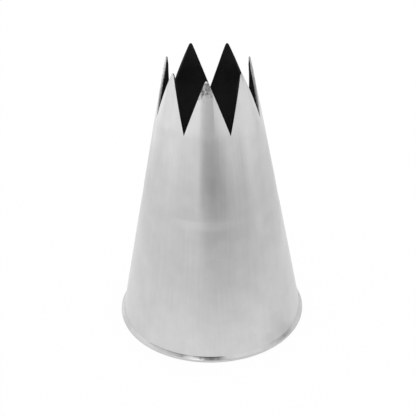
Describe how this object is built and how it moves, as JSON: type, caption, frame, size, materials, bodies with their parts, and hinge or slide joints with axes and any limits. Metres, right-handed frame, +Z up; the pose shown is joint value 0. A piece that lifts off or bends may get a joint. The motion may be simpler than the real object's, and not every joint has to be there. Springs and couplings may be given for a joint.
{
  "type": "piping nozzle",
  "caption": "Open-star piping nozzle: a tapered stainless steel cone with a folded base hem and a ring of pointed teeth that shape icing or cream.",
  "frame": {"origin": "centre of the circle that the base hem stands on, at the foot of the cone's axis", "axes": "+Z up the cone's axis, from the base to the tips of the teeth; -Y through the middle of tooth_1"},
  "size_m": [0.0316, 0.0316, 0.0486],
  "materials": {
    "satin_steel": "satin stainless steel, finely brushed along the cone, darker inside",
    "polished_hem": "stainless steel polished by the fold"
  },
  "bodies": {
    "root": {"lower_cone": "satin_steel", "upper_cone": "satin_steel", "tooth_1": "satin_steel", "tooth_2": "satin_steel", "tooth_3": "satin_steel", "tooth_4": "satin_steel", "tooth_5": "satin_steel", "tooth_6": "satin_steel", "tooth_7": "satin_steel", "base_hem": "polished_hem"}
  },
  "joints": []
}
